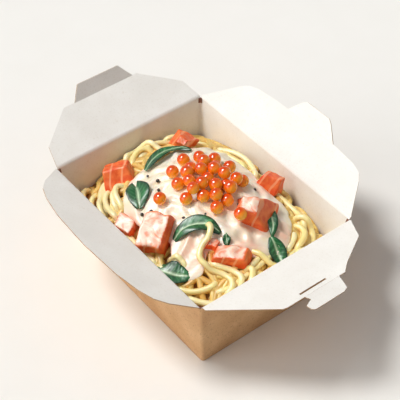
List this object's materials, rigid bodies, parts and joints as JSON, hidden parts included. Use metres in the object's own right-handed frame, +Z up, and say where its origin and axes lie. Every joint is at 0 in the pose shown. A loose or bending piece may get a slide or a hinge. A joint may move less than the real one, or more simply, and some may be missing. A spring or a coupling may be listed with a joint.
{
  "type": "noodle takeaway box",
  "caption": "Open takeaway carton with raised fold-out flaps, heaped with thick noodles under a cream sauce, with salmon pieces, basil leaves and a pile of salmon roe on top.",
  "frame": {"origin": "centre of the carton's flat underside", "axes": "+Z up, +X along the carton's long side towards the flap with the slit, +Y across towards the rear long flap"},
  "size_m": [0.2029, 0.1589, 0.073],
  "materials": {
    "kraft_board": "matte",
    "white_board": "matte",
    "noodle": "satin",
    "sauce": "gloss",
    "salmon": "satin",
    "leaf": "satin",
    "roe": "gloss"
  },
  "bodies": {
    "box": {"tray": "kraft_board", "noodles": "noodle", "sauce": "sauce", "salmon_1": "salmon", "salmon_2": "salmon", "salmon_3": "salmon", "salmon_4": "salmon", "salmon_5": "salmon", "salmon_6": "salmon", "salmon_7": "salmon", "salmon_8": "salmon", "leaf_1": "leaf", "leaf_2": "leaf", "leaf_3": "leaf", "leaf_4": "leaf", "leaf_5": "leaf", "leaf_6": "leaf", "leaf_7": "leaf", "roe_pile": "roe", "roe_apart_1": "roe", "roe_apart_2": "roe"},
    "rear_flap": {"flap_back": "white_board"},
    "right_flap": {"flap_right": "white_board"},
    "front_flap": {"flap_front": "white_board"},
    "left_flap": {"flap_left": "white_board"}
  },
  "joints": [
    {"name": "rear_fold", "type": "hinge", "parent": "box", "child": "rear_flap", "pos_m": [0, 0.051, 0.054], "axis": [1, 0, 0], "range_deg": [-95, 124]},
    {"name": "right_fold", "type": "hinge", "parent": "box", "child": "right_flap", "pos_m": [0.065, 0, 0.054], "axis": [0, -1, 0], "range_deg": [-95, 112]},
    {"name": "front_fold", "type": "hinge", "parent": "box", "child": "front_flap", "pos_m": [0, -0.051, 0.054], "axis": [-1, 0, 0], "range_deg": [-95, 124]},
    {"name": "left_fold", "type": "hinge", "parent": "box", "child": "left_flap", "pos_m": [-0.065, 0, 0.054], "axis": [0, 1, 0], "range_deg": [-95, 105]}
  ]
}
